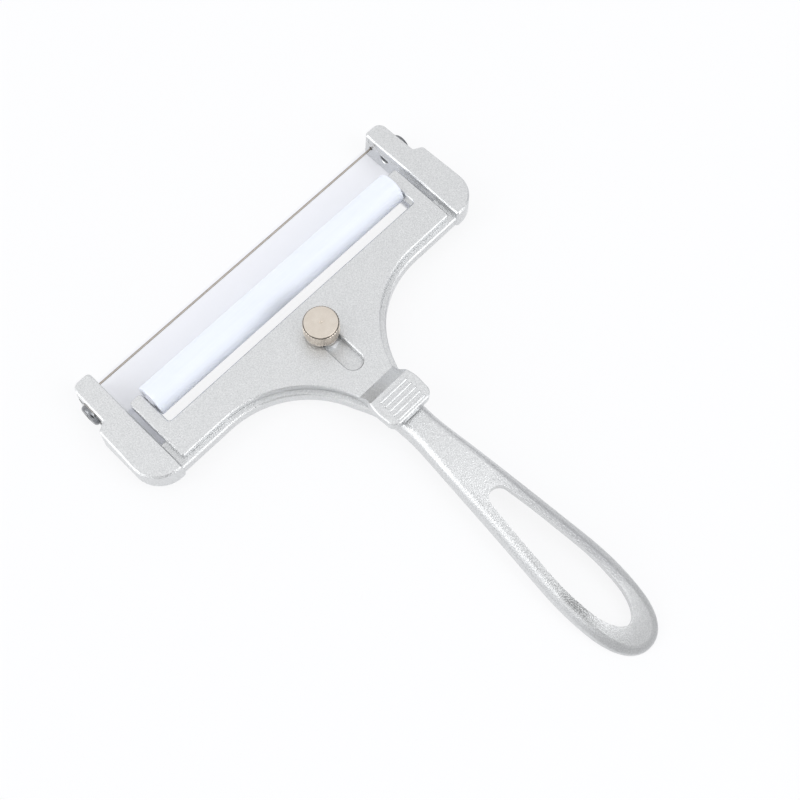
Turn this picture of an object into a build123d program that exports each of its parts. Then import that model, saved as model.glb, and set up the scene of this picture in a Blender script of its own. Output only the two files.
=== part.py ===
from build123d import *
import math
import os

os.makedirs("parts", exist_ok=True)

# Wire cheese slicer with a roller. Millimetres.
# +X runs along the cutting wire, +Y from the handle to the wire, +Z is up.
# The origin is the centre of the footprint, on the surface that the tool lies on.
# A place called ahead or behind is measured along Y from the lock screw's axis.

# Whole tool
overall_length = 202.5
nose_ahead = 46.4

# Shared clearances
running_gap = 0.1
slide_gap = 0.25
seat_gap = 0.02
overrun = 5.0

# Directions
right_angle = 90.0
upward_share = 0.5

# Frame casting: the two arms
arm_inner_x = 68.0
arm_width = 12.8
arm_height = 12.9
arm_rear_behind = 2.2
arm_rear_radius = 10.8
arm_heel_radius = 0.8
arm_draft_angle = 2.0
arm_chamfer = 0.6
nose_width = 8.3
nose_taper = 0.4
nose_inner_radius = 1.5
nose_outer_radius = 3.3
notch_ahead = 29.1
notch_run = 1.9
notch_step = 3.5
notch_radius = 0.8
notch_corner_radius = 1.5
belly_ahead = 27.0
belly_run = 17.0

# Frame casting: head plate and its rim
plate_bottom = 4.6
plate_thickness = 4.9
plate_front_ahead = 10.0
plate_root = 3.4
plate_chamfer = 0.5
rim_width = 2.1

# Hollow shoulders, shared by the frame and the carriage
shoulder_radius = 40.0
shoulder_depth = 25.67
neck_root_half = 8.86

# Frame casting: neck and handle
neck_mid_half = 8.0
neck_mid_behind = 32.5
waist_half = 5.8
waist_behind = 46.0
neck_step_behind = 33.5
neck_step_run = 4.0
crest_height = 12.9
crest_behind = 47.0
belly_start_share = 0.385
tail_top = 3.5
tail_rest_length = 15.0
taper_start_half = 7.5
taper_start_share = 0.446
taper_end_half = 10.95
taper_end_share = 0.6746
grip_half = 12.65
tail_shares = [(0.38, 0.995), (0.68, 0.94), (0.82, 0.82)]
crown_radius = 2.9

# Frame casting: hollow back of the handle
handle_roof = 3.6
handle_wall = 2.4
hollow_end_share = 0.945

# Frame casting: teardrop hole in the handle
hole_start_share = 0.5275
hole_length_share = 0.4067
hole_half = 7.6
hole_front_radius = 4.1
hole_front_angle = 83.0
hole_shares = [(0.231, 0.72), (0.419, 0.87), (0.63, 1.0), (0.793, 0.94), (0.9, 0.765)]

# Carriage casting
carriage_plate = 2.9
prong_side_gap = 2.3
carriage_chamfer = 0.4
carriage_rear_ahead = 0.4
prong_width = 5.3
prong_ahead = 27.9
prong_corner_radius = 1.3
prong_drop = 1.5
prong_drop_ahead = 15.0
window_ahead = 13.0
window_corner_radius = 1.2
rear_corner_radius = 1.0
neck_turn_run = 4.77

# Carriage casting: ramp and thumb pad
ramp_behind = 27.1
ramp_run = 6.0
pad_rise = 6.1
pad_thickness = 4.4
pad_behind = 45.3
pad_half = 9.8
pad_shoulder_half = 8.4
pad_shoulder_behind = 31.5
pad_crown_behind = 37.5
pad_corner_length = 3.2
pad_corner_half = 9.5
underside_ramp_lag = 3.1

# Carriage casting: grip ribs on the pad
rib_count = 5
rib_pitch = 2.15
rib_width = 1.1
rib_length = 13.2
rib_height = 0.45
rib_edge_radius = 0.4
rib_first_behind = 35.3

# Adjusting slot, guide boss and travel
travel = 12.0
boss_half_width = 3.4
boss_front_centre = 1.35
boss_rear_centre = 3.3
boss_below_carriage_top = 0.2

# Roller
roller_ahead = 23.7
roller_axis_z = 10.7
roller_radius = 6.2
roller_wall = 1.4
roller_end_gap = 0.7
roller_edge_radius = 0.4
plug_length = 8.0
plug_hub_radius = 2.6
plug_side_gap = 0.15
axle_radius = 1.25
axle_running_gap = 0.05
axle_chamfer = 0.3

# Lock screw, its washer and its threaded insert
stud_radius = 2.5
stud_thread_gap = 0.05
stud_tip_above = 0.4
knob_radius = 6.65
knob_height = 7.2
knob_chamfer = 0.4
knob_waist_height = 0.6
knob_waist_radius = 5.4
knob_flutes = 40
knob_flute_depth = 0.28
knob_flute_radius = 0.42
knob_dimple_radius = 0.5
knob_dimple_depth = 0.3
lock_washer_radius = 5.6
lock_washer_thickness = 0.8
lock_washer_bore_gap = 0.15
stud_tip_chamfer = 0.6
insert_radius = 4.0
insert_length = 4.0
insert_flange_radius = 5.0
insert_flange_thickness = 1.0
insert_top_gap = 0.1

# Cutting wire and the screws that hold its ends
wire_diameter = 0.8
wire_ahead = 43.0
wire_z = 6.6
wire_hole_radius = 0.8
channel_half_width = 1.3
wire_bend_radius = 1.2
wire_loop_angle = 250.0
wire_loop_gap = 0.05
end_screw_behind_wire = 6.7
end_screw_radius = 2.0
end_screw_tip_inset = 1.2
end_screw_tip_chamfer = 0.4
end_head_radius = 4.2
end_head_height = 1.9
end_head_dome_radius = 1.2
end_recess_length = 4.2
end_recess_width = 0.9
end_recess_depth = 1.1
end_mouth_chamfer = 0.35
mouth_angle = 45.0
end_washer_radius = 4.5
end_washer_thickness = 0.7
end_washer_bore_gap = 0.15
pocket_radius = 4.9
pocket_depth = 1.4

# Places worked out from the sizes
front_y = overall_length / 2
tail_y = -overall_length / 2
draft_reach = arm_height * math.tan(math.radians(arm_draft_angle))
lock_y = front_y - nose_ahead - draft_reach
shoulder_turn = math.acos(1 - shoulder_depth / shoulder_radius)
shoulder_angle = math.degrees(shoulder_turn)
shoulder_x = neck_root_half + shoulder_radius * math.sin(shoulder_turn)
neck_turn_radius = neck_turn_run / math.cos(shoulder_turn)
plate_top = plate_bottom + plate_thickness
plate_rear_behind = rim_width - carriage_rear_ahead
carriage_bottom = plate_top + running_gap
carriage_top = carriage_bottom + carriage_plate
pad_top = carriage_top + pad_rise
pad_bottom = pad_top - pad_thickness
boss_top = carriage_top - boss_below_carriage_top
carriage_half = arm_inner_x - prong_side_gap
prong_inner_x = carriage_half - prong_width
slot_half_width = boss_half_width + slide_gap
slot_front_centre = boss_front_centre + slide_gap
slot_rear_centre = boss_rear_centre + travel + slide_gap
wire_radius = wire_diameter / 2
wire_y = lock_y + wire_ahead
roller_y = lock_y + roller_ahead
end_screw_y = wire_y - end_screw_behind_wire
pocket_floor_x = arm_inner_x + nose_width - pocket_depth
wire_end_x = pocket_floor_x + wire_radius + seat_gap
end_washer_x = wire_end_x + wire_radius + seat_gap
end_head_x = end_washer_x + end_washer_thickness
arm_outer_x = arm_inner_x + arm_width
handle_length = lock_y - tail_y
step_top_y = lock_y - neck_step_behind - neck_step_run
belly_start_behind = belly_start_share * handle_length
taper_start_behind = taper_start_share * handle_length
taper_end_behind = taper_end_share * handle_length
tail_length = handle_length - taper_end_behind
hole_start_behind = hole_start_share * handle_length
hole_length = hole_length_share * handle_length
hollow_end_behind = hollow_end_share * handle_length


def at(x, ahead):
    """A plan point, given across and ahead of the lock screw."""
    return (x, lock_y + ahead)


def side(ahead, z):
    """A point of a side profile, given ahead of the lock screw and up."""
    return (lock_y + ahead, z)


def outward(sign, x, y, z):
    """A plane that faces away from the middle of the tool, on the left or right."""
    return Plane(origin=(sign * x, y, z), x_dir=(0, sign, 0), z_dir=(sign, 0, 0))


# Frame, first form: the plate, neck and handle
taper_direction = (
    taper_end_half - taper_start_half,
    taper_start_behind - taper_end_behind,
)
with BuildPart() as spine_form:
    with BuildSketch():
        with BuildLine():
            root_x = arm_inner_x + plate_root
            Polyline(
                at(0, plate_front_ahead),
                at(root_x, plate_front_ahead),
                at(root_x, -plate_rear_behind),
                at(shoulder_x, -plate_rear_behind),
            )
            rim_arc = JernArc(
                start=at(shoulder_x, -plate_rear_behind),
                tangent=(-1, 0),
                radius=shoulder_radius - rim_width,
                arc_size=shoulder_angle,
            )
            Spline(
                rim_arc @ 1,
                at(neck_mid_half, -neck_mid_behind),
                at(waist_half, -waist_behind),
                at(taper_start_half, -taper_start_behind),
                tangents=[rim_arc % 1, taper_direction],
            )
            Line(
                at(taper_start_half, -taper_start_behind),
                at(taper_end_half, -taper_end_behind),
            )
            tail_points = [
                at(half * grip_half, -taper_end_behind - along * tail_length)
                for along, half in tail_shares
            ]
            Spline(
                at(taper_end_half, -taper_end_behind),
                *tail_points,
                (0, tail_y),
                tangents=[taper_direction, (-1, 0)],
            )
            mirror(about=Plane.YZ)
        make_face()
    extrude(amount=crest_height)
    with BuildSketch(Plane.YZ):
        with BuildLine():
            crest = side(-crest_behind, crest_height)
            TangentArc(crest, (tail_y, tail_top), tangent=(-1, 0))
            rest_start = (tail_y + tail_rest_length, 0)
            Polyline((tail_y, tail_top), (tail_y, 0), rest_start)
            belly_start = side(-belly_start_behind, plate_bottom)
            TangentArc(belly_start, rest_start, tangent=(-1, 0))
            Polyline(
                belly_start,
                side(plate_front_ahead, plate_bottom),
                side(plate_front_ahead, plate_top),
                side(-neck_step_behind, plate_top),
                side(-neck_step_behind - neck_step_run, crest_height),
                crest,
            )
        make_face()
    extrude(amount=arm_inner_x + plate_root, both=True, mode=Mode.INTERSECT)
    upward = spine_form.faces().filter_by(lambda f: f.normal_at().Z > upward_share)
    handle_top = upward.filter_by(lambda f: f.center().Y < step_top_y)
    crown_edges = ShapeList(e for f in handle_top for e in f.outer_wire().edges())
    fillet(crown_edges.filter_by(Axis.X, reverse=True), radius=crown_radius)
    upward = spine_form.faces().filter_by(lambda f: f.normal_at().Z > upward_share)
    plate_rim = upward.sort_by(Axis.Y)[-1].edges().sort_by(Axis.Y)[1:]
    chamfer(plate_rim, length=plate_chamfer)
    with BuildSketch(Plane.XY.offset(-overrun)):
        with BuildLine():
            hole_tip = JernArc(
                start=at(0, -hole_start_behind),
                tangent=(1, 0),
                radius=hole_front_radius,
                arc_size=-hole_front_angle,
            )
            hole_points = [
                at(half * hole_half, -hole_start_behind - along * hole_length)
                for along, half in hole_shares
            ]
            Spline(
                hole_tip @ 1,
                *hole_points,
                at(0, -hole_start_behind - hole_length),
                tangents=[hole_tip % 1, (-1, 0)],
            )
            mirror(about=Plane.YZ)
        make_face()
    extrude(amount=crest_height + 2 * overrun, mode=Mode.SUBTRACT)

# Frame: the hollow in the back of the handle, a wall's width inside its outline
with BuildPart() as handle_hollow:
    with BuildSketch(Plane.XY.offset(-overrun)):
        with BuildLine():
            Polyline(
                at(0, -taper_start_behind),
                at(taper_start_half - handle_wall, -taper_start_behind),
                at(taper_end_half - handle_wall, -taper_end_behind),
            )
            hollow_points = [(x - handle_wall, y) for x, y in tail_points]
            Spline(
                at(taper_end_half - handle_wall, -taper_end_behind),
                *hollow_points,
                tangents=[taper_direction, (-1, -1)],
            )
            Line(hollow_points[-1], (0, hollow_points[-1][1]))
            mirror(about=Plane.YZ)
        make_face()
        with Locations(at(0, -hollow_end_behind)):
            Rectangle(
                2 * grip_half,
                handle_length,
                align=(Align.CENTER, Align.MIN),
                mode=Mode.INTERSECT,
            )
    extrude(amount=crest_height + overrun)
    with BuildSketch(Plane.YZ):
        with BuildLine():
            roof_start = side(-crest_behind, crest_height - handle_roof)
            roof_end = (tail_y, tail_top - handle_roof)
            TangentArc(roof_start, roof_end, tangent=(-1, 0))
            Polyline(
                roof_end,
                (tail_y, -overrun),
                side(-crest_behind, -overrun),
                roof_start,
            )
        make_face()
    extrude(amount=grip_half, both=True, mode=Mode.INTERSECT)

# Frame, second form: the right arm, drafted, with its nose and hollowed belly
nose_tip_x = arm_inner_x + nose_width - nose_taper
with BuildPart() as arm_form:
    with BuildSketch(Plane.XY.offset(arm_height)):
        with BuildLine():
            FilletPolyline(
                at(arm_inner_x, nose_ahead),
                at(nose_tip_x, nose_ahead),
                at(arm_inner_x + nose_width, notch_ahead),
                at(arm_inner_x + nose_width + notch_step, notch_ahead - notch_run),
                at(arm_outer_x, -arm_rear_behind),
                at(arm_inner_x, -arm_rear_behind),
                radius=[
                    nose_inner_radius,
                    nose_outer_radius,
                    notch_radius,
                    notch_corner_radius,
                    arm_rear_radius,
                    arm_heel_radius,
                ],
                close=True,
            )
        make_face()
    extrude(amount=-arm_height, taper=-arm_draft_angle)
    with BuildSketch(Plane.YZ):
        with BuildLine():
            Polyline(
                side(belly_ahead, -overrun),
                side(belly_ahead, 0),
                side(belly_ahead - belly_run, plate_bottom),
                side(-arm_rear_behind - overrun, plate_bottom),
                side(-arm_rear_behind - overrun, -overrun),
                close=True,
            )
        make_face()
    extrude(amount=arm_outer_x + overrun, mode=Mode.SUBTRACT)
    chamfer(arm_form.faces().sort_by(Axis.Z)[-1].edges(), length=arm_chamfer)

# Frame: the two forms joined, then the clear space for the carriage and the roller
with BuildPart() as frame:
    add(spine_form.part)
    add(handle_hollow.part, mode=Mode.SUBTRACT)
    add(arm_form.part)
    mirror(arm_form.part, about=Plane.YZ)
    with BuildSketch(Plane.XY.offset(plate_top)):
        with Locations(at(0, -arm_rear_behind)):
            Rectangle(2 * arm_inner_x, nose_ahead, align=(Align.CENTER, Align.MIN))
    extrude(amount=arm_height, mode=Mode.SUBTRACT)
    with BuildSketch(Plane.XY.offset(-overrun)):
        with Locations(at(0, plate_front_ahead)):
            Rectangle(2 * arm_inner_x, nose_ahead, align=(Align.CENTER, Align.MIN))
    extrude(amount=arm_height, mode=Mode.SUBTRACT)

    # Guide boss that runs in the carriage's slot
    with BuildSketch(Plane.XY.offset(plate_top)):
        with Locations(at(0, (boss_front_centre - boss_rear_centre) / 2)):
            SlotCenterToCenter(
                boss_front_centre + boss_rear_centre,
                2 * boss_half_width,
                rotation=right_angle,
            )
    extrude(amount=boss_top - plate_top)

    # Bore for the lock screw, and the stepped seat of its threaded insert
    with BuildSketch(Plane.XY.offset(plate_bottom)):
        with Locations(at(0, 0)):
            Circle(stud_radius + slide_gap)
    extrude(amount=boss_top - plate_bottom, mode=Mode.SUBTRACT)
    with BuildSketch(Plane.XY.offset(plate_bottom)):
        with Locations(at(0, 0)):
            Circle(insert_radius + seat_gap)
    extrude(amount=insert_length + insert_top_gap, mode=Mode.SUBTRACT)
    with BuildSketch(Plane.XY.offset(plate_bottom)):
        with Locations(at(0, 0)):
            Circle(insert_flange_radius + seat_gap)
    extrude(amount=insert_flange_thickness, mode=Mode.SUBTRACT)

    # Recess, screw hole and wire hole in each nose
    for sign in (-1, 1):
        with BuildSketch(outward(sign, pocket_floor_x, end_screw_y, wire_z)):
            Circle(pocket_radius)
            with Locations((sign * end_screw_behind_wire / 2, 0)):
                Rectangle(end_screw_behind_wire, 2 * channel_half_width)
            with Locations((sign * end_screw_behind_wire, 0)):
                Circle(channel_half_width)
        extrude(amount=overrun, mode=Mode.SUBTRACT)
        with BuildSketch(outward(sign, pocket_floor_x, end_screw_y, wire_z)):
            Circle(end_screw_radius + stud_thread_gap)
            with Locations((sign * end_screw_behind_wire, 0)):
                Circle(wire_hole_radius)
        extrude(amount=arm_inner_x - pocket_floor_x, mode=Mode.SUBTRACT)
        with BuildSketch(outward(sign, arm_inner_x, end_screw_y, wire_z)):
            Circle(end_screw_radius + stud_thread_gap + end_mouth_chamfer)
        extrude(amount=end_mouth_chamfer, taper=mouth_angle, mode=Mode.SUBTRACT)
frame.part.label = "frame"
export_step(frame.part, "parts/frame.step")

# Carriage: one casting, from its plan and its side profile
with BuildPart() as carriage:
    with BuildSketch(Plane.XY.offset(carriage_bottom - prong_drop)):
        with BuildLine():
            FilletPolyline(
                at(0, window_ahead),
                at(prong_inner_x, window_ahead),
                at(prong_inner_x, prong_ahead),
                at(carriage_half, prong_ahead),
                at(carriage_half, carriage_rear_ahead),
                at(shoulder_x, carriage_rear_ahead),
                radius=[
                    window_corner_radius,
                    prong_corner_radius,
                    prong_corner_radius,
                    rear_corner_radius,
                ],
            )
            shoulder = JernArc(
                start=at(shoulder_x, carriage_rear_ahead),
                tangent=(-1, 0),
                radius=shoulder_radius,
                arc_size=shoulder_angle,
            )
            neck_turn = JernArc(
                start=shoulder @ 1,
                tangent=shoulder % 1,
                radius=neck_turn_radius,
                arc_size=right_angle - shoulder_angle,
            )
            pad_side = Spline(
                neck_turn @ 1,
                at(pad_shoulder_half, -pad_shoulder_behind),
                at(pad_half, -pad_crown_behind),
                at(pad_corner_half, pad_corner_length - pad_behind),
                tangents=[(0, -1), (0, -1)],
            )
            pad_corner = JernArc(
                start=pad_side @ 1,
                tangent=(0, -1),
                radius=pad_corner_length,
                arc_size=-right_angle,
            )
            Line(pad_corner @ 1, at(0, -pad_behind))
            mirror(about=Plane.YZ)
        make_face()
    extrude(amount=pad_top - carriage_bottom + prong_drop)
    with BuildSketch(Plane.YZ):
        with BuildLine():
            Polyline(
                side(prong_ahead, carriage_top),
                side(-ramp_behind, carriage_top),
                side(-ramp_behind - ramp_run, pad_top),
                side(-pad_behind, pad_top),
                side(-pad_behind, pad_bottom),
                side(-ramp_behind - underside_ramp_lag - ramp_run, pad_bottom),
                side(-ramp_behind - underside_ramp_lag, carriage_bottom),
                side(prong_drop_ahead - prong_drop, carriage_bottom),
                side(prong_drop_ahead, carriage_bottom - prong_drop),
                side(prong_ahead, carriage_bottom - prong_drop),
                close=True,
            )
        make_face()
    extrude(amount=carriage_half, both=True, mode=Mode.INTERSECT)

    # Adjusting slot
    with BuildSketch(Plane.XY.offset(carriage_bottom)):
        with Locations(at(0, (slot_front_centre - slot_rear_centre) / 2)):
            SlotCenterToCenter(
                slot_front_centre + slot_rear_centre,
                2 * slot_half_width,
                rotation=right_angle,
            )
    extrude(amount=carriage_plate, mode=Mode.SUBTRACT)

    # Bright edge round the plate, the slot and the pad
    carriage_rim = ShapeList(
        e
        for f in carriage.faces().filter_by(Plane.XY)
        if f.normal_at().Z > 0
        for e in f.edges()
        if abs(e.center().Y - lock_y + ramp_behind) > ramp_run + carriage_chamfer
        or not e.geom_type == GeomType.LINE
    )
    chamfer(carriage_rim, length=carriage_chamfer)

    # Bores for the roller's axle
    with BuildSketch(Plane.YZ.offset(-carriage_half)):
        with Locations((roller_y, roller_axis_z)):
            Circle(axle_radius + seat_gap)
    extrude(amount=2 * carriage_half, mode=Mode.SUBTRACT)

    # Grip ribs
    with BuildSketch(Plane.XY.offset(pad_top)):
        for rib in range(rib_count):
            with Locations(at(0, -rib_first_behind - rib * rib_pitch)):
                SlotOverall(rib_length, rib_width)
    extrude(amount=rib_height)
    rib_tops = carriage.faces().filter_by(Plane.XY).sort_by(Axis.Z)[-rib_count:]
    fillet(rib_tops.edges(), radius=rib_edge_radius)
carriage.part.label = "carriage"
export_step(carriage.part, "parts/carriage.step")

# Roller tube
roller_half = prong_inner_x - roller_end_gap
roller_bore = roller_radius - roller_wall
roller_end = Plane.YZ.offset(-roller_half)
with BuildPart() as roller_tube:
    with BuildSketch(roller_end):
        with Locations((roller_y, roller_axis_z)):
            Circle(roller_radius)
            Circle(roller_bore, mode=Mode.SUBTRACT)
    extrude(amount=2 * roller_half)
    roller_rims = roller_tube.edges().filter_by(GeomType.CIRCLE)
    outer_rims = roller_rims.filter_by(lambda e: e.radius > roller_bore + roller_wall / 2)
    fillet(outer_rims, radius=roller_edge_radius)
roller_tube.part.label = "roller_tube"
export_step(roller_tube.part, "parts/roller_tube.step")

# Bearing plugs in the ends of the tube
hub_reach = roller_end_gap - plug_side_gap
for sign, name in ((-1, "roller_plug_left"), (1, "roller_plug_right")):
    with BuildPart() as roller_plug:
        with BuildSketch(outward(sign, roller_half, roller_y, roller_axis_z)):
            Circle(roller_bore - seat_gap)
        extrude(amount=-plug_length)
        with BuildSketch(outward(sign, roller_half, roller_y, roller_axis_z)):
            Circle(plug_hub_radius)
        extrude(amount=hub_reach)
        with BuildSketch(outward(sign, roller_half + hub_reach, roller_y, roller_axis_z)):
            Circle(axle_radius + axle_running_gap)
        extrude(amount=-plug_length - hub_reach, mode=Mode.SUBTRACT)
    roller_plug.part.label = name
    export_step(roller_plug.part, f"parts/{name}.step")

# Axle, from prong to prong
with BuildPart() as roller_axle:
    with BuildSketch(Plane.YZ.offset(-carriage_half)):
        with Locations((roller_y, roller_axis_z)):
            Circle(axle_radius)
    extrude(amount=2 * carriage_half)
    chamfer(roller_axle.edges().filter_by(GeomType.CIRCLE), length=axle_chamfer)
roller_axle.part.label = "roller_axle"
export_step(roller_axle.part, "parts/roller_axle.step")

# Threaded insert, pressed into the plate from below
with BuildPart() as lock_insert:
    with BuildSketch(Plane.XY.offset(plate_bottom)):
        with Locations(at(0, 0)):
            Circle(insert_radius)
    extrude(amount=insert_length)
    with BuildSketch(Plane.XY.offset(plate_bottom)):
        with Locations(at(0, 0)):
            Circle(insert_flange_radius)
    extrude(amount=insert_flange_thickness)
    with BuildSketch(Plane.XY.offset(plate_bottom)):
        with Locations(at(0, 0)):
            Circle(stud_radius + stud_thread_gap)
    extrude(amount=insert_length, mode=Mode.SUBTRACT)
lock_insert.part.label = "lock_insert"
export_step(lock_insert.part, "parts/lock_insert.step")

# Washer under the knob
with BuildPart() as lock_washer:
    with BuildSketch(Plane.XY.offset(carriage_top)):
        with Locations(at(0, 0)):
            Circle(lock_washer_radius)
            Circle(stud_radius + lock_washer_bore_gap, mode=Mode.SUBTRACT)
    extrude(amount=lock_washer_thickness)
lock_washer.part.label = "lock_washer"
export_step(lock_washer.part, "parts/lock_washer.step")

# Lock screw: knurled knob and stud in one piece
knob_bottom = carriage_top + lock_washer_thickness
knob_grip_z = knob_bottom + knob_waist_height
stud_tip_z = plate_bottom + stud_tip_above
with BuildPart() as lock_screw:
    with BuildSketch(Plane.XY.offset(knob_grip_z)):
        with Locations(at(0, 0)):
            Circle(knob_radius)
    extrude(amount=knob_height - knob_waist_height)
    knob_rims = lock_screw.edges().filter_by(GeomType.CIRCLE)
    chamfer(knob_rims, length=knob_chamfer)
    with BuildSketch(Plane.XY.offset(knob_grip_z)):
        with Locations(at(0, 0)):
            with PolarLocations(knob_radius + knob_flute_radius - knob_flute_depth, knob_flutes):
                Circle(knob_flute_radius)
    extrude(amount=knob_height - knob_waist_height, mode=Mode.SUBTRACT)
    with BuildSketch(Plane.XY.offset(knob_bottom)):
        with Locations(at(0, 0)):
            Circle(knob_waist_radius)
    extrude(amount=knob_waist_height)
    with BuildSketch(Plane.XY.offset(knob_bottom + knob_height)):
        with Locations(at(0, 0)):
            Circle(knob_dimple_radius)
    extrude(amount=-knob_dimple_depth, mode=Mode.SUBTRACT)
    with BuildSketch(Plane.XY.offset(stud_tip_z)):
        with Locations(at(0, 0)):
            Circle(stud_radius)
    extrude(amount=knob_bottom - stud_tip_z)
    chamfer(lock_screw.faces().sort_by(Axis.Z)[0].edges(), length=stud_tip_chamfer)
lock_screw.part.label = "lock_screw"
export_step(lock_screw.part, "parts/lock_screw.step")

# Cutting wire: one straight span, a bend at each nose and a loop round each end screw
loop_radius = end_screw_radius + wire_radius + wire_loop_gap
loop_start_angle = math.degrees(math.acos(loop_radius / end_screw_behind_wire))


def loop_point(sign, share):
    """A point of an end loop, at a share of the way round the screw."""
    turned = math.radians(loop_start_angle + share * wire_loop_angle)
    return (
        sign * wire_end_x,
        end_screw_y + loop_radius * math.cos(turned),
        wire_z - sign * loop_radius * math.sin(turned),
    )


with BuildPart() as cutting_wire:
    with BuildLine() as wire_route:
        ThreePointArc(loop_point(-1, 1), loop_point(-1, 0.5), loop_point(-1, 0))
        FilletPolyline(
            loop_point(-1, 0),
            (-wire_end_x, wire_y, wire_z),
            (wire_end_x, wire_y, wire_z),
            loop_point(1, 0),
            radius=wire_bend_radius,
        )
        ThreePointArc(loop_point(1, 0), loop_point(1, 0.5), loop_point(1, 1))
    with BuildSketch(Plane(wire_route.wire() ^ 0)):
        Circle(wire_radius)
    sweep(path=wire_route.wire())
cutting_wire.part.label = "cutting_wire"
export_step(cutting_wire.part, "parts/cutting_wire.step")

# End washers, which clamp the wire's loops
for sign, name in ((-1, "wire_washer_left"), (1, "wire_washer_right")):
    with BuildPart() as wire_washer:
        with BuildSketch(outward(sign, end_washer_x, end_screw_y, wire_z)):
            Circle(end_washer_radius)
            Circle(end_screw_radius + end_washer_bore_gap, mode=Mode.SUBTRACT)
        extrude(amount=end_washer_thickness)
    wire_washer.part.label = name
    export_step(wire_washer.part, f"parts/{name}.step")

# End screws: pan head with a cross recess
end_head_top_x = end_head_x + end_head_height
end_shank_length = end_head_x - arm_inner_x - end_screw_tip_inset
for sign, name in ((-1, "wire_screw_left"), (1, "wire_screw_right")):
    with BuildPart() as wire_screw:
        with BuildSketch(outward(sign, end_head_x, end_screw_y, wire_z)):
            Circle(end_head_radius)
        extrude(amount=end_head_height)
        head_rims = wire_screw.edges().filter_by(GeomType.CIRCLE).sort_by(Axis.X)
        outer_rim = head_rims[-1] if sign > 0 else head_rims[0]
        fillet(outer_rim, radius=end_head_dome_radius)
        with BuildSketch(outward(sign, end_head_top_x, end_screw_y, wire_z)):
            Rectangle(end_recess_length, end_recess_width)
            Rectangle(end_recess_width, end_recess_length)
        extrude(amount=-end_recess_depth, mode=Mode.SUBTRACT)
        with BuildSketch(outward(sign, end_head_x, end_screw_y, wire_z)):
            Circle(end_screw_radius)
        extrude(amount=-end_shank_length)
        shank_rims = wire_screw.edges().filter_by(GeomType.CIRCLE).sort_by(Axis.X)
        tip_rim = shank_rims[0] if sign > 0 else shank_rims[-1]
        chamfer(tip_rim, length=end_screw_tip_chamfer)
    wire_screw.part.label = name
    export_step(wire_screw.part, f"parts/{name}.step")
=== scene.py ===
# %% [markdown]
# # A wire cheese slicer with a roller
# A light-metal casting holds a taut steel wire between two arms. A second casting slides on it
# and carries a white roller, and the gap from roller to wire is the thickness of the slice.
# The measured solids come in first. They already have the true shapes, so most of this lesson
# is about the finishes, the turned and knurled thumb screw, and the light.

# %% Load the measured solids
import math

import bmesh
import bpy
from mathutils import Matrix, Vector


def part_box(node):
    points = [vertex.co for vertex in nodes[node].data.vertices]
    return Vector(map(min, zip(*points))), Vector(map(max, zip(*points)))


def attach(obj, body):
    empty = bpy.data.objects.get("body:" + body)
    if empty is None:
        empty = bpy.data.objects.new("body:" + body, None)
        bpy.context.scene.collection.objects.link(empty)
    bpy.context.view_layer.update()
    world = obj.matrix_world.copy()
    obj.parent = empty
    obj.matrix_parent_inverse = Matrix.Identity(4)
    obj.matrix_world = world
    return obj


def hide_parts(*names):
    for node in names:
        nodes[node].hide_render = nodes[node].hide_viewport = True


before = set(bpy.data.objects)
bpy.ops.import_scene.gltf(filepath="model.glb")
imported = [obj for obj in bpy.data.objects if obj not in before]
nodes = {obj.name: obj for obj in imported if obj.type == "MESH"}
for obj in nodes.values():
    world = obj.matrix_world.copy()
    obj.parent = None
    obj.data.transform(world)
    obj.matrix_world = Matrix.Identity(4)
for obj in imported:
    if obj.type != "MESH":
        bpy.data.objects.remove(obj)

scene = bpy.context.scene
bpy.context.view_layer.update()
MM = 0.001

# %% [markdown]
# ## Colours and nodes
# Colours are written as the eye sees them on a screen, in hex. Blender works in linear light,
# so one function turns them over. A second adds a shader node with its settings and links,
# which keeps each material short enough to read. A third starts an empty material.


# %% Three helpers for the materials
def hex_colour(code):
    """A screen colour such as "#d8dbdd" in linear light, with full alpha."""
    parts = [int(code[i : i + 2], 16) / 255 for i in (1, 3, 5)]
    lit = [p / 12.92 if p <= 0.04045 else ((p + 0.055) / 1.055) ** 2.4 for p in parts]
    return (*lit, 1.0)


def add(tree, kind, sockets=None, **settings):
    """Adds a node. A socket's value may be a number, a colour or another node's output."""
    node = tree.nodes.new(kind)
    for name, value in settings.items():
        setattr(node, name, value)
    for name, value in (sockets or {}).items():
        if isinstance(value, bpy.types.NodeSocket):
            tree.links.new(value, node.inputs[name])
        else:
            node.inputs[name].default_value = value
    return node


def new_material(name):
    """An empty material: its node tree, its shader and its Object coordinates."""
    material = bpy.data.materials.new(name)
    material.use_nodes = True
    tree = material.node_tree
    shader = tree.nodes["Principled BSDF"]
    place = add(tree, "ShaderNodeTexCoord").outputs["Object"]
    return material, tree, shader, place


print("white in linear light:", hex_colour("#ffffff")[:3])

# %% [markdown]
# ## The camera
# The photograph was taken from above the left side of the handle, quite close. The place was
# worked out from the outline of the object, so the render can be laid over the picture. The
# direction is given as an azimuth and an elevation, with a small roll of the camera.

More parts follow.
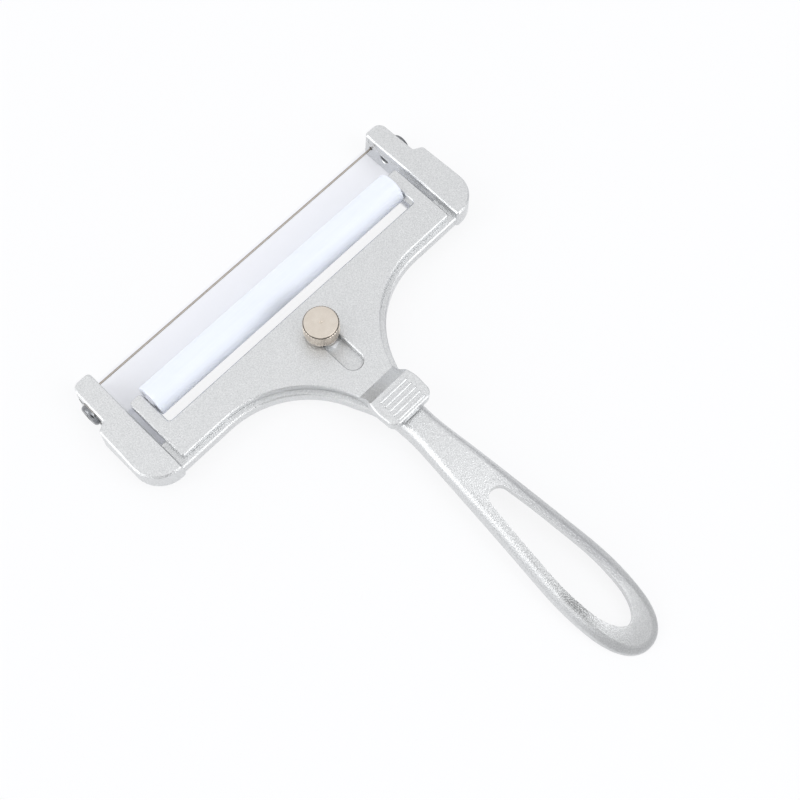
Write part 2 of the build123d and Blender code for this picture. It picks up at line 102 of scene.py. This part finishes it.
# %% Put the camera where the photograph was taken
camera_data = bpy.data.cameras.new("camera")
camera = bpy.data.objects.new("camera", camera_data)
scene.collection.objects.link(camera)
scene.camera = camera
focal_length, sensor_width = 56.45, 36.0
camera_place = Vector((-0.1147, -0.0856, 0.4187))
camera_data.lens = focal_length
camera_data.sensor_width = sensor_width
camera_data.clip_start = 10 * MM
scene.view_settings.view_transform = "Standard"
azimuth, elevation, roll = (math.radians(a) for a in (-48.508, 69.195, 2.977))
back = Vector(
    (
        math.sin(azimuth) * math.cos(elevation),
        -math.cos(azimuth) * math.cos(elevation),
        math.sin(elevation),
    )
)
across = Vector((math.cos(azimuth), math.sin(azimuth), 0))
up = back.cross(across)
turned_across = across * math.cos(roll) + up * math.sin(roll)
turned_up = up * math.cos(roll) - across * math.sin(roll)
look = Matrix((turned_across, turned_up, back)).transposed()
camera.matrix_world = Matrix.Translation(camera_place) @ look.to_4x4()
print("camera height in mm:", round(camera.matrix_world.translation.z / MM))

# %% [markdown]
# ## The floor
# The tool lies on a white sweep of paper. To the camera, and in the metal's reflections, a part
# of the paper's brightness is given as light, so it reads as white while the object still
# leaves a soft shadow. The paper has one colour. Two zones get less of that help, by position,
# so that their own shadow shows: the strip between roller and wire, which is light grey in the
# photograph, and the slots between the arms and the prongs. From low angles they show faintly.


# %% A white paper floor
def paper_floor(size):
    """A wide sheet under the object."""
    mesh = bpy.data.meshes.new("floor")
    bm = bmesh.new()
    bmesh.ops.create_grid(bm, x_segments=1, y_segments=1, size=size)
    bm.to_mesh(mesh)
    bm.free()
    floor = bpy.data.objects.new("floor", mesh)
    scene.collection.objects.link(floor)
    return floor


def band(tree, value, low, high, soft):
    """One where a value lies between two limits, with soft ends."""
    half = (high - low) / 2
    off = add(tree, "ShaderNodeMath", {0: value, 1: low + half}, operation="SUBTRACT")
    off = add(tree, "ShaderNodeMath", {0: off.outputs[0]}, operation="ABSOLUTE")
    inside = add(
        tree,
        "ShaderNodeMapRange",
        {"Value": off.outputs[0], "From Min": half + soft, "From Max": half},
    )
    return inside.outputs["Result"]


floor_half, floor_drop = 3.0, 0.2 * MM
floor = paper_floor(floor_half)
floor.location.z = -floor_drop
paper, tree, shader, place = new_material("white_paper_sweep")
shader.inputs["Roughness"].default_value = 0.9
shader.inputs["Specular IOR Level"].default_value = 0.1
roller_low, roller_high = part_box("roller_tube")
wire_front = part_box("cutting_wire")[1].y
arm_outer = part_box("frame")[1].x
spot = add(tree, "ShaderNodeSeparateXYZ", {"Vector": place})
aside = add(tree, "ShaderNodeMath", {0: spot.outputs["X"]}, operation="ABSOLUTE").outputs[0]
ahead = spot.outputs["Y"]
under_arm = arm_outer - 9.5 * MM
# Each zone: its width across, its start from the roller's back and its end from the wire's
# front, both in mm along Y, and the help taken away.
zones = (
    (band(tree, aside, roller_high.x + 2.8 * MM, under_arm, 1 * MM), -14, -13.5, 0.75),
    (band(tree, aside, -1, under_arm, 2 * MM), 13, 3, 0.55),
)
rays = add(tree, "ShaderNodeLightPath")
help_share = 0.85
for across_zone, start, end, less in zones:
    along = band(tree, ahead, roller_low.y + start * MM, wire_front + end * MM, 1.5 * MM)
    zone = add(tree, "ShaderNodeMath", {0: across_zone, 1: along}, operation="MULTIPLY")
    taken = add(tree, "ShaderNodeMath", {0: zone.outputs[0], 1: less}, operation="MULTIPLY")
    left = add(tree, "ShaderNodeMath", {0: help_share, 1: taken.outputs[0]}, operation="SUBTRACT")
    left.use_clamp = True
    help_share = left.outputs[0]
seen = rays.outputs["Is Camera Ray"]
for ray in ("Is Glossy Ray", "Is Transmission Ray"):
    seen = add(tree, "ShaderNodeMath", {0: seen, 1: rays.outputs[ray]}, operation="MAXIMUM")
    seen = seen.outputs[0]
share = add(tree, "ShaderNodeMath", {0: seen, 1: help_share}, operation="MULTIPLY")
shader.inputs["Base Color"].default_value = hex_colour("#e8eaf1")
glow = add(tree, "ShaderNodeEmission", {"Color": (1, 1, 1, 1), "Strength": 1.0})
both = add(
    tree,
    "ShaderNodeMixShader",
    {"Fac": share.outputs[0], 1: shader.outputs[0], 2: glow.outputs[0]},
)
tree.links.new(both.outputs[0], tree.nodes["Material Output"].inputs["Surface"])
floor.data.materials.append(paper)
print("floor is", round(2 * floor_half), "m across")

# %% [markdown]
# ## The light
# A product like this is photographed in a tent of white cloth. Level faces mirror the cloth
# overhead. The narrow edges mirror what is low down: three brighter windows, on the left and
# in front, draw the white lines along them. A fourth, high up, lights the domed tail. Two
# darker areas, the tent's opening and a dim corner on the right, shade the rounded handle. The
# tent is the world, made by direction. Seen straight, past the edge of the paper, it is plain
# white. The larger lamp stands on the handle's side, so the roller is brightest there, and a
# weaker one draws the handle's left edge.

# %% A tent of soft light
world = bpy.data.worlds.new("tent")
scene.world = world
world.use_nodes = True
tree = world.node_tree
direction = add(tree, "ShaderNodeTexCoord").outputs["Generated"]


def cloth_area(cloth, toward, colour, full, edge):
    """The cloth with a round area of another tone, given by its middle and two angles."""
    near = add(
        tree,
        "ShaderNodeVectorMath",
        {0: direction, 1: Vector(toward).normalized()},
        operation="DOT_PRODUCT",
    )
    amount = add(
        tree,
        "ShaderNodeMapRange",
        {
            "Value": near.outputs["Value"],
            "From Min": math.cos(math.radians(edge)),
            "From Max": math.cos(math.radians(full)),
        },
        interpolation_type="SMOOTHSTEP",
    )
    mixed = add(
        tree,
        "ShaderNodeMix",
        {"Factor": amount.outputs["Result"], "A": cloth, "B": colour},
        data_type="RGBA",
    )
    return mixed.outputs[2]


cloth = (0.98, 0.98, 0.985, 1)
# Each area: the direction of its middle, its tone, and where it is full and ends, in degrees.
areas = (
    ((0.95, -0.15, 0.2), (0.5, 0.5, 0.52, 1), 20, 50),
    ((-0.45, -0.62, 0.6), (0.04, 0.04, 0.04, 1), 15, 34),
    ((-0.9, 0.4, 0.22), (2.4, 2.4, 2.4, 1), 14, 30),
    ((-0.74, -0.66, 0.08), (2.0, 2.0, 2.0, 1), 6, 17),
    ((0.25, -0.95, 0.14), (2.2, 2.2, 2.2, 1), 12, 28),
    ((0.2, -0.38, 0.9), (2.3, 2.3, 2.3, 1), 4, 17),
)
for toward, tone, full, edge in areas:
    cloth = cloth_area(cloth, toward, tone, full, edge)
rays = add(tree, "ShaderNodeLightPath")
backdrop = add(
    tree,
    "ShaderNodeMix",
    {"Factor": rays.outputs["Is Camera Ray"], "A": cloth, "B": (1, 1, 1, 1)},
    data_type="RGBA",
)
tree.links.new(backdrop.outputs[2], tree.nodes["Background"].inputs["Color"])
tree.nodes["Background"].inputs["Strength"].default_value = 1.0


def soft_lamp(name, place, aim, width, power):
    """A square lamp that faces a point."""
    data = bpy.data.lights.new(name, "AREA")
    data.size = width
    data.energy = power
    lamp = bpy.data.objects.new(name, data)
    scene.collection.objects.link(lamp)
    lamp.location = place
    lamp.rotation_euler = (Vector(place) - Vector(aim)).to_track_quat("Z", "Y").to_euler()
    return lamp


key = soft_lamp("key_softbox", (0.35, -0.7, 0.95), (0, 0, 0), 0.7, 2.7)
fill = soft_lamp("fill_softbox", (-0.75, 0.55, 0.95), (0, 0, 0), 0.5, 1.7)
print("lamps:", [lamp.name for lamp in (key, fill)])

# %% [markdown]
# ## Satin silver on a casting
# Both castings are zinc or aluminium, tumbled and sprayed with a silver lacquer. The flakes in
# it lie almost flat, with small tilts, so level faces look even and rounded ones sparkle
# finely. The flakes are drawn 0.4 mm wide, coarser than real ones, so that they show. Below
# them a slow waviness tells that the metal was cast. Towards its tail the real handle is
# gently domed, which is too shallow to measure, so a wide bump leans the surface outwards
# there: it falls away with the square of the distance from the middle.

# %% Satin silver lacquer
satin_silver, tree, shader, place = new_material("cast_satin_silver")
flake_width, wave_length = 0.42 * MM, 9 * MM
flake = add(tree, "ShaderNodeTexNoise", {"Vector": place, "Scale": 1 / flake_width, "Detail": 2.0})
flake_tone = add(
    tree,
    "ShaderNodeMix",
    {"Factor": flake.outputs["Fac"], "A": hex_colour("#b6b8b9"), "B": hex_colour("#f4f5f6")},
    data_type="RGBA",
)
tree.links.new(flake_tone.outputs[2], shader.inputs["Base Color"])
shader.inputs["Metallic"].default_value = 0.85
shader.inputs["Roughness"].default_value = 0.3
flake_tilt = add(
    tree,
    "ShaderNodeBump",
    {"Height": flake.outputs["Fac"], "Strength": 1.0, "Distance": 0.15 * MM},
)
wave = add(tree, "ShaderNodeTexNoise", {"Vector": place, "Scale": 1 / wave_length, "Detail": 1.0})
cast_wave = add(
    tree,
    "ShaderNodeBump",
    {
        "Height": wave.outputs["Fac"],
        "Strength": 1.0,
        "Distance": 0.03 * MM,
        "Normal": flake_tilt.outputs["Normal"],
    },
)
tail_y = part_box("frame")[0].y
dome_radius, dome_middle = 26 * MM, tail_y + 34 * MM
dome_start, dome_full = tail_y + 95 * MM, tail_y + 62 * MM
spot = add(tree, "ShaderNodeSeparateXYZ", {"Vector": place})
begun = add(
    tree,
    "ShaderNodeMapRange",
    {"Value": spot.outputs["Y"], "From Min": dome_start, "From Max": dome_full},
    interpolation_type="SMOOTHSTEP",
)
past = add(tree, "ShaderNodeMath", {0: dome_middle, 1: spot.outputs["Y"]}, operation="SUBTRACT")
past = add(tree, "ShaderNodeMath", {0: past.outputs[0], 1: 0.0}, operation="MAXIMUM")
away = add(tree, "ShaderNodeCombineXYZ", {"X": spot.outputs["X"], "Y": past.outputs[0]})
square = add(
    tree,
    "ShaderNodeVectorMath",
    {0: away.outputs["Vector"], 1: away.outputs["Vector"]},
    operation="DOT_PRODUCT",
)
sunk = add(
    tree,
    "ShaderNodeMath",
    {0: square.outputs["Value"], 1: begun.outputs["Result"]},
    operation="MULTIPLY",
)
dome = add(
    tree,
    "ShaderNodeBump",
    {
        "Height": sunk.outputs[0],
        "Strength": 1.0,
        "Distance": 1 / (2 * dome_radius),
        "Normal": cast_wave.outputs["Normal"],
    },
    invert=True,
)
tree.links.new(dome.outputs["Normal"], shader.inputs["Normal"])
print("made", satin_silver.name)

# %% [markdown]
# ## White acetal for the roller
# The tube is extruded acetal, a waxy white plastic with a satin skin. It is slightly cool in
# colour, and fine lines run along it from the die.

# %% Satin white plastic
acetal, tree, shader, place = new_material("extruded_white_acetal")
line_width = 0.5 * MM
stretch = add(tree, "ShaderNodeMapping", {"Vector": place, "Scale": (0.04, 1, 1)})
lines = add(
    tree,
    "ShaderNodeTexNoise",
    {"Vector": stretch.outputs["Vector"], "Scale": 1 / line_width, "Detail": 2.0},
)
tint = add(
    tree,
    "ShaderNodeMix",
    {"Factor": lines.outputs["Fac"], "A": hex_colour("#e3e9f7"), "B": hex_colour("#ebf0fc")},
    data_type="RGBA",
)
tree.links.new(tint.outputs[2], shader.inputs["Base Color"])
shader.inputs["Roughness"].default_value = 0.34
shader.inputs["IOR"].default_value = 1.48
shader.inputs["Subsurface Weight"].default_value = 0.3
shader.inputs["Subsurface Radius"].default_value = (2 * MM, 2 * MM, 2.3 * MM)
shader.inputs["Subsurface Scale"].default_value = 1.0
skin = add(
    tree,
    "ShaderNodeBump",
    {"Height": lines.outputs["Fac"], "Strength": 0.6, "Distance": 0.008 * MM},
)
tree.links.new(skin.outputs["Normal"], shader.inputs["Normal"])
print("made", acetal.name)

# %% [markdown]
# ## Pale nylon for the bearing plugs
# The plugs in the ends of the roller are moulded nylon, matt and slightly mottled.

# %% Moulded nylon
nylon, tree, shader, place = new_material("moulded_pale_nylon")
mottle_width = 1.2 * MM
mottle = add(tree, "ShaderNodeTexNoise", {"Vector": place, "Scale": 1 / mottle_width, "Detail": 3.0})
tint = add(
    tree,
    "ShaderNodeMix",
    {"Factor": mottle.outputs["Fac"], "A": hex_colour("#cfd1d8"), "B": hex_colour("#dcdee5")},
    data_type="RGBA",
)
tree.links.new(tint.outputs[2], shader.inputs["Base Color"])
shader.inputs["Roughness"].default_value = 0.5
shader.inputs["IOR"].default_value = 1.53
skin = add(
    tree,
    "ShaderNodeBump",
    {"Height": mottle.outputs["Fac"], "Strength": 0.5, "Distance": 0.02 * MM},
)
tree.links.new(skin.outputs["Normal"], shader.inputs["Normal"])
print("made", nylon.name)

# %% [markdown]
# ## Drawn stainless wire and bright steel
# The wire was pulled through a die, which leaves fine scratches along it and a skin that is
# darker and browner than polished steel. The washers, the axle and the threaded insert are
# bright steel, stamped or turned, so one function makes both from two tones.

# %% Bright steel, and the darker wire
def scratched_steel(name, dark, light, roughness):
    """Steel with fine scratches along X, between two tones."""
    material, tree, shader, place = new_material(name)
    scratch_width = 0.12 * MM
    stretch = add(tree, "ShaderNodeMapping", {"Vector": place, "Scale": (0.06, 1, 1)})
    scratch = add(
        tree,
        "ShaderNodeTexNoise",
        {"Vector": stretch.outputs["Vector"], "Scale": 1 / scratch_width, "Detail": 3.0},
    )
    tone = add(
        tree,
        "ShaderNodeMix",
        {"Factor": scratch.outputs["Fac"], "A": hex_colour(dark), "B": hex_colour(light)},
        data_type="RGBA",
    )
    tree.links.new(tone.outputs[2], shader.inputs["Base Color"])
    shader.inputs["Metallic"].default_value = 1.0
    shader.inputs["Roughness"].default_value = roughness
    grooves = add(
        tree,
        "ShaderNodeBump",
        {"Height": scratch.outputs["Fac"], "Strength": 0.5, "Distance": 0.01 * MM},
    )
    tree.links.new(grooves.outputs["Normal"], shader.inputs["Normal"])
    print("made", name)
    return material


steel = scratched_steel("stamped_bright_steel", "#b9b4ae", "#dcd8d3", 0.27)
wire_steel = scratched_steel("drawn_stainless_wire", "#8f8880", "#b3aca4", 0.35)

# %% [markdown]
# ## Turned nickel for the thumb screw
# The thumb screw is turned brass with a nickel skin, which is warmer than steel. The lathe
# leaves fine rings round the axis, drawn here by the distance from that axis. The rings are
# 0.3 mm apart, coarser than real ones, so that they show. The same distance finds the grooves
# of the knurl, which are painted dark, almost black at their bottoms: partly old polish, partly
# painted shade in the hollows.

# %% Nickel with turning rings
screw_low, screw_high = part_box("lock_screw")
axis_x = (screw_low.x + screw_high.x) / 2
axis_y = (screw_low.y + screw_high.y) / 2
nickel, tree, shader, place = new_material("turned_nickel")
ring_pitch, cloud_width = 0.3 * MM, 2.5 * MM
tone_inner, tone_outer = 6.0 * MM, 6.65 * MM
centred = add(tree, "ShaderNodeMapping", {"Vector": place, "Location": (-axis_x, -axis_y, 0)})
flat = add(
    tree,
    "ShaderNodeVectorMath",
    {0: centred.outputs["Vector"], 1: (1, 1, 0)},
    operation="MULTIPLY",
)
radius = add(tree, "ShaderNodeVectorMath", {0: flat.outputs["Vector"]}, operation="LENGTH")
turns = add(
    tree,
    "ShaderNodeMath",
    {0: radius.outputs["Value"], 1: 2 * math.pi / ring_pitch},
    operation="MULTIPLY",
)
rings = add(tree, "ShaderNodeMath", {0: turns.outputs[0]}, operation="SINE")
reach = add(
    tree,
    "ShaderNodeMapRange",
    {"Value": radius.outputs["Value"], "From Min": tone_inner, "From Max": tone_outer},
)
# Painted shade: a ramp by distance from the axis darkens the knurl's grooves, almost to black at
# their bottoms.
groove_shade = add(tree, "ShaderNodeValToRGB", {"Fac": reach.outputs["Result"]})
stops = groove_shade.color_ramp
stops.elements[0].position, stops.elements[0].color = 0.05, (1, 1, 1, 1)
stops.elements[1].position, stops.elements[1].color = 0.66, (1, 1, 1, 1)
stops.elements.new(0.16).color = (0.3, 0.29, 0.28, 1)
stops.elements.new(0.46).color = (0.02, 0.02, 0.02, 1)
stops.elements.new(0.54).color = (0.3, 0.29, 0.28, 1)
cloud = add(tree, "ShaderNodeTexNoise", {"Vector": place, "Scale": 1 / cloud_width, "Detail": 2.0})
tone = add(
    tree,
    "ShaderNodeMix",
    {"Factor": cloud.outputs["Fac"], "A": hex_colour("#d6ccc0"), "B": hex_colour("#e3dbd1")},
    data_type="RGBA",
)
shaded = add(
    tree,
    "ShaderNodeMix",
    {"Factor": 1.0, "A": tone.outputs[2], "B": groove_shade.outputs["Color"]},
    data_type="RGBA",
    blend_type="MULTIPLY",
)
tree.links.new(shaded.outputs[2], shader.inputs["Base Color"])
shader.inputs["Metallic"].default_value = 1.0
shader.inputs["Roughness"].default_value = 0.26
turning = add(
    tree,
    "ShaderNodeBump",
    {"Height": rings.outputs[0], "Strength": 0.35, "Distance": 0.006 * MM},
)
tree.links.new(turning.outputs["Normal"], shader.inputs["Normal"])
print("made", nickel.name)

# %% [markdown]
# ## Plated screws at the wire's ends
# These are bought pan head screws with a bright zinc plating, so they are a little bluer than
# the thumb screw and have no turning rings.

# %% Bright zinc plating
zinc, tree, shader, place = new_material("bright_zinc_plate")
bloom_width = 0.8 * MM
bloom = add(tree, "ShaderNodeTexNoise", {"Vector": place, "Scale": 1 / bloom_width, "Detail": 3.0})
tone = add(
    tree,
    "ShaderNodeMix",
    {"Factor": bloom.outputs["Fac"], "A": hex_colour("#65676a"), "B": hex_colour("#a3a5a8")},
    data_type="RGBA",
)
tree.links.new(tone.outputs[2], shader.inputs["Base Color"])
shader.inputs["Metallic"].default_value = 1.0
shader.inputs["Roughness"].default_value = 0.22
skin = add(
    tree,
    "ShaderNodeBump",
    {"Height": bloom.outputs["Fac"], "Strength": 0.4, "Distance": 0.01 * MM},
)
tree.links.new(skin.outputs["Normal"], shader.inputs["Normal"])
print("made", zinc.name)

# %% [markdown]
# ## Dress the solids
# A solid's finish goes into the material slot that it already has.

# %% Give each solid its finish
finishes = {
    "frame": satin_silver,
    "carriage": satin_silver,
    "roller_tube": acetal,
    "roller_plug_left": nylon,
    "roller_plug_right": nylon,
    "roller_axle": steel,
    "lock_screw": nickel,
    "lock_washer": steel,
    "lock_insert": steel,
    "cutting_wire": wire_steel,
    "wire_washer_left": steel,
    "wire_washer_right": steel,
    "wire_screw_left": zinc,
    "wire_screw_right": zinc,
}
for name, finish in finishes.items():
    nodes[name].material_slots[0].material = finish
print("dressed", len(finishes), "solids")

# %% [markdown]
# ## Knurling the thumb screw
# A knurl is a field of small diamond pyramids, rolled into the rim by two crossed wheels. A
# ring of edges is extruded upwards into a wall of squares. Poking each square and dissolving
# the first edges leaves diamonds, and poking those outwards raises the pyramids. The ends of
# the wall are then extruded on, ring by ring, along the turned profile, and closed at the
# axis. The whole screw is one mesh that takes the place of the plain solid.


# %% A knurled and turned thumb screw
def turned_on(bm, edges, profile, axis):
    """Extrudes a ring of edges on through (radius, height) pairs about the axis."""
    for radius, height in profile:
        grown = bmesh.ops.extrude_edge_only(bm, edges=edges)["geom"]
        ring = [g for g in grown if isinstance(g, bmesh.types.BMVert)]
        edges = [g for g in grown if isinstance(g, bmesh.types.BMEdge)]
        for vert in ring:
            out = Vector((vert.co.x - axis.x, vert.co.y - axis.y, 0)).normalized()
            vert.co = Vector((axis.x, axis.y, height)) + out * radius
    return edges


def closed_at_axis(bm, edges):
    """Closes a ring with a fan of triangles."""
    lid = bmesh.ops.contextual_create(bm, geom=edges)["faces"]
    bmesh.ops.poke(bm, faces=lid)


def knurled_screw(axis, foot, top, around, rows):
    """The thumb screw as one closed mesh: knurl, top with its dimple, waist and stud."""
    grip_radius, depth = 6.3 * MM, 0.33 * MM
    grip_low, grip_high = top - 6.2 * MM, top - 0.4 * MM
    bm = bmesh.new()
    bmesh.ops.create_circle(
        bm,
        segments=around,
        radius=grip_radius,
        matrix=Matrix.Translation((axis.x, axis.y, grip_low)),
    )
    # So far the mesh has no edges but the circle's.
    bottom_ring = bm.edges[:]
    step = (grip_high - grip_low) / rows
    wall = [(grip_radius, grip_low + step * (row + 1)) for row in range(rows)]
    top_ring = turned_on(bm, bottom_ring, wall, axis)
    squares = [e for e in bm.edges if len(e.link_faces) == 2]
    bmesh.ops.poke(bm, faces=bm.faces[:])
    bmesh.ops.dissolve_edges(bm, edges=squares, use_verts=False)
    bmesh.ops.recalc_face_normals(bm, faces=bm.faces[:])
    sign = 1 if (bm.faces[0].calc_center_median() - axis).xy.dot(bm.faces[0].normal.xy) > 0 else -1
    bmesh.ops.poke(bm, faces=bm.faces[:], offset=sign * depth)
    # The turned profile as (radius, height above the top), in mm.
    crown = [(6.25, -0.3), (6.05, -0.07), (5.8, 0), (0.8, 0), (0.5, -0.06), (0.3, -0.28)]
    closed_at_axis(bm, turned_on(bm, top_ring, [(r * MM, top + h * MM) for r, h in crown], axis))
    under = [(6.2, -6.4), (5.9, -6.58), (5.45, -6.6), (5.4, -6.65), (5.4, -7.15), (5.35, -7.2)]
    under = [(r * MM, top + h * MM) for r, h in under]
    stud = [(2.5 * MM, top - 7.2 * MM), (2.5 * MM, foot + 0.6 * MM), (1.9 * MM, foot)]
    closed_at_axis(bm, turned_on(bm, bottom_ring, under + stud, axis))
    bmesh.ops.recalc_face_normals(bm, faces=bm.faces[:])
    return bm


diamonds_around, diamond_rows = 40, 6
screw_axis = Vector((axis_x, axis_y, 0))
bm = knurled_screw(screw_axis, screw_low.z, screw_high.z, diamonds_around, diamond_rows)
print("knurl faces:", len(bm.faces), "open edges:", sum(len(e.link_faces) != 2 for e in bm.edges))
mesh = bpy.data.meshes.new("knurled_thumb_screw")
bm.to_mesh(mesh)
bm.free()
for face in mesh.polygons:
    face.use_smooth = True
mesh.set_sharp_from_angle(angle=math.radians(20))
mesh.materials.append(nickel)
thumb_screw = bpy.data.objects.new("knurled_thumb_screw", mesh)
scene.collection.objects.link(thumb_screw)
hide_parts("lock_screw")
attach(thumb_screw, "lock_screw")
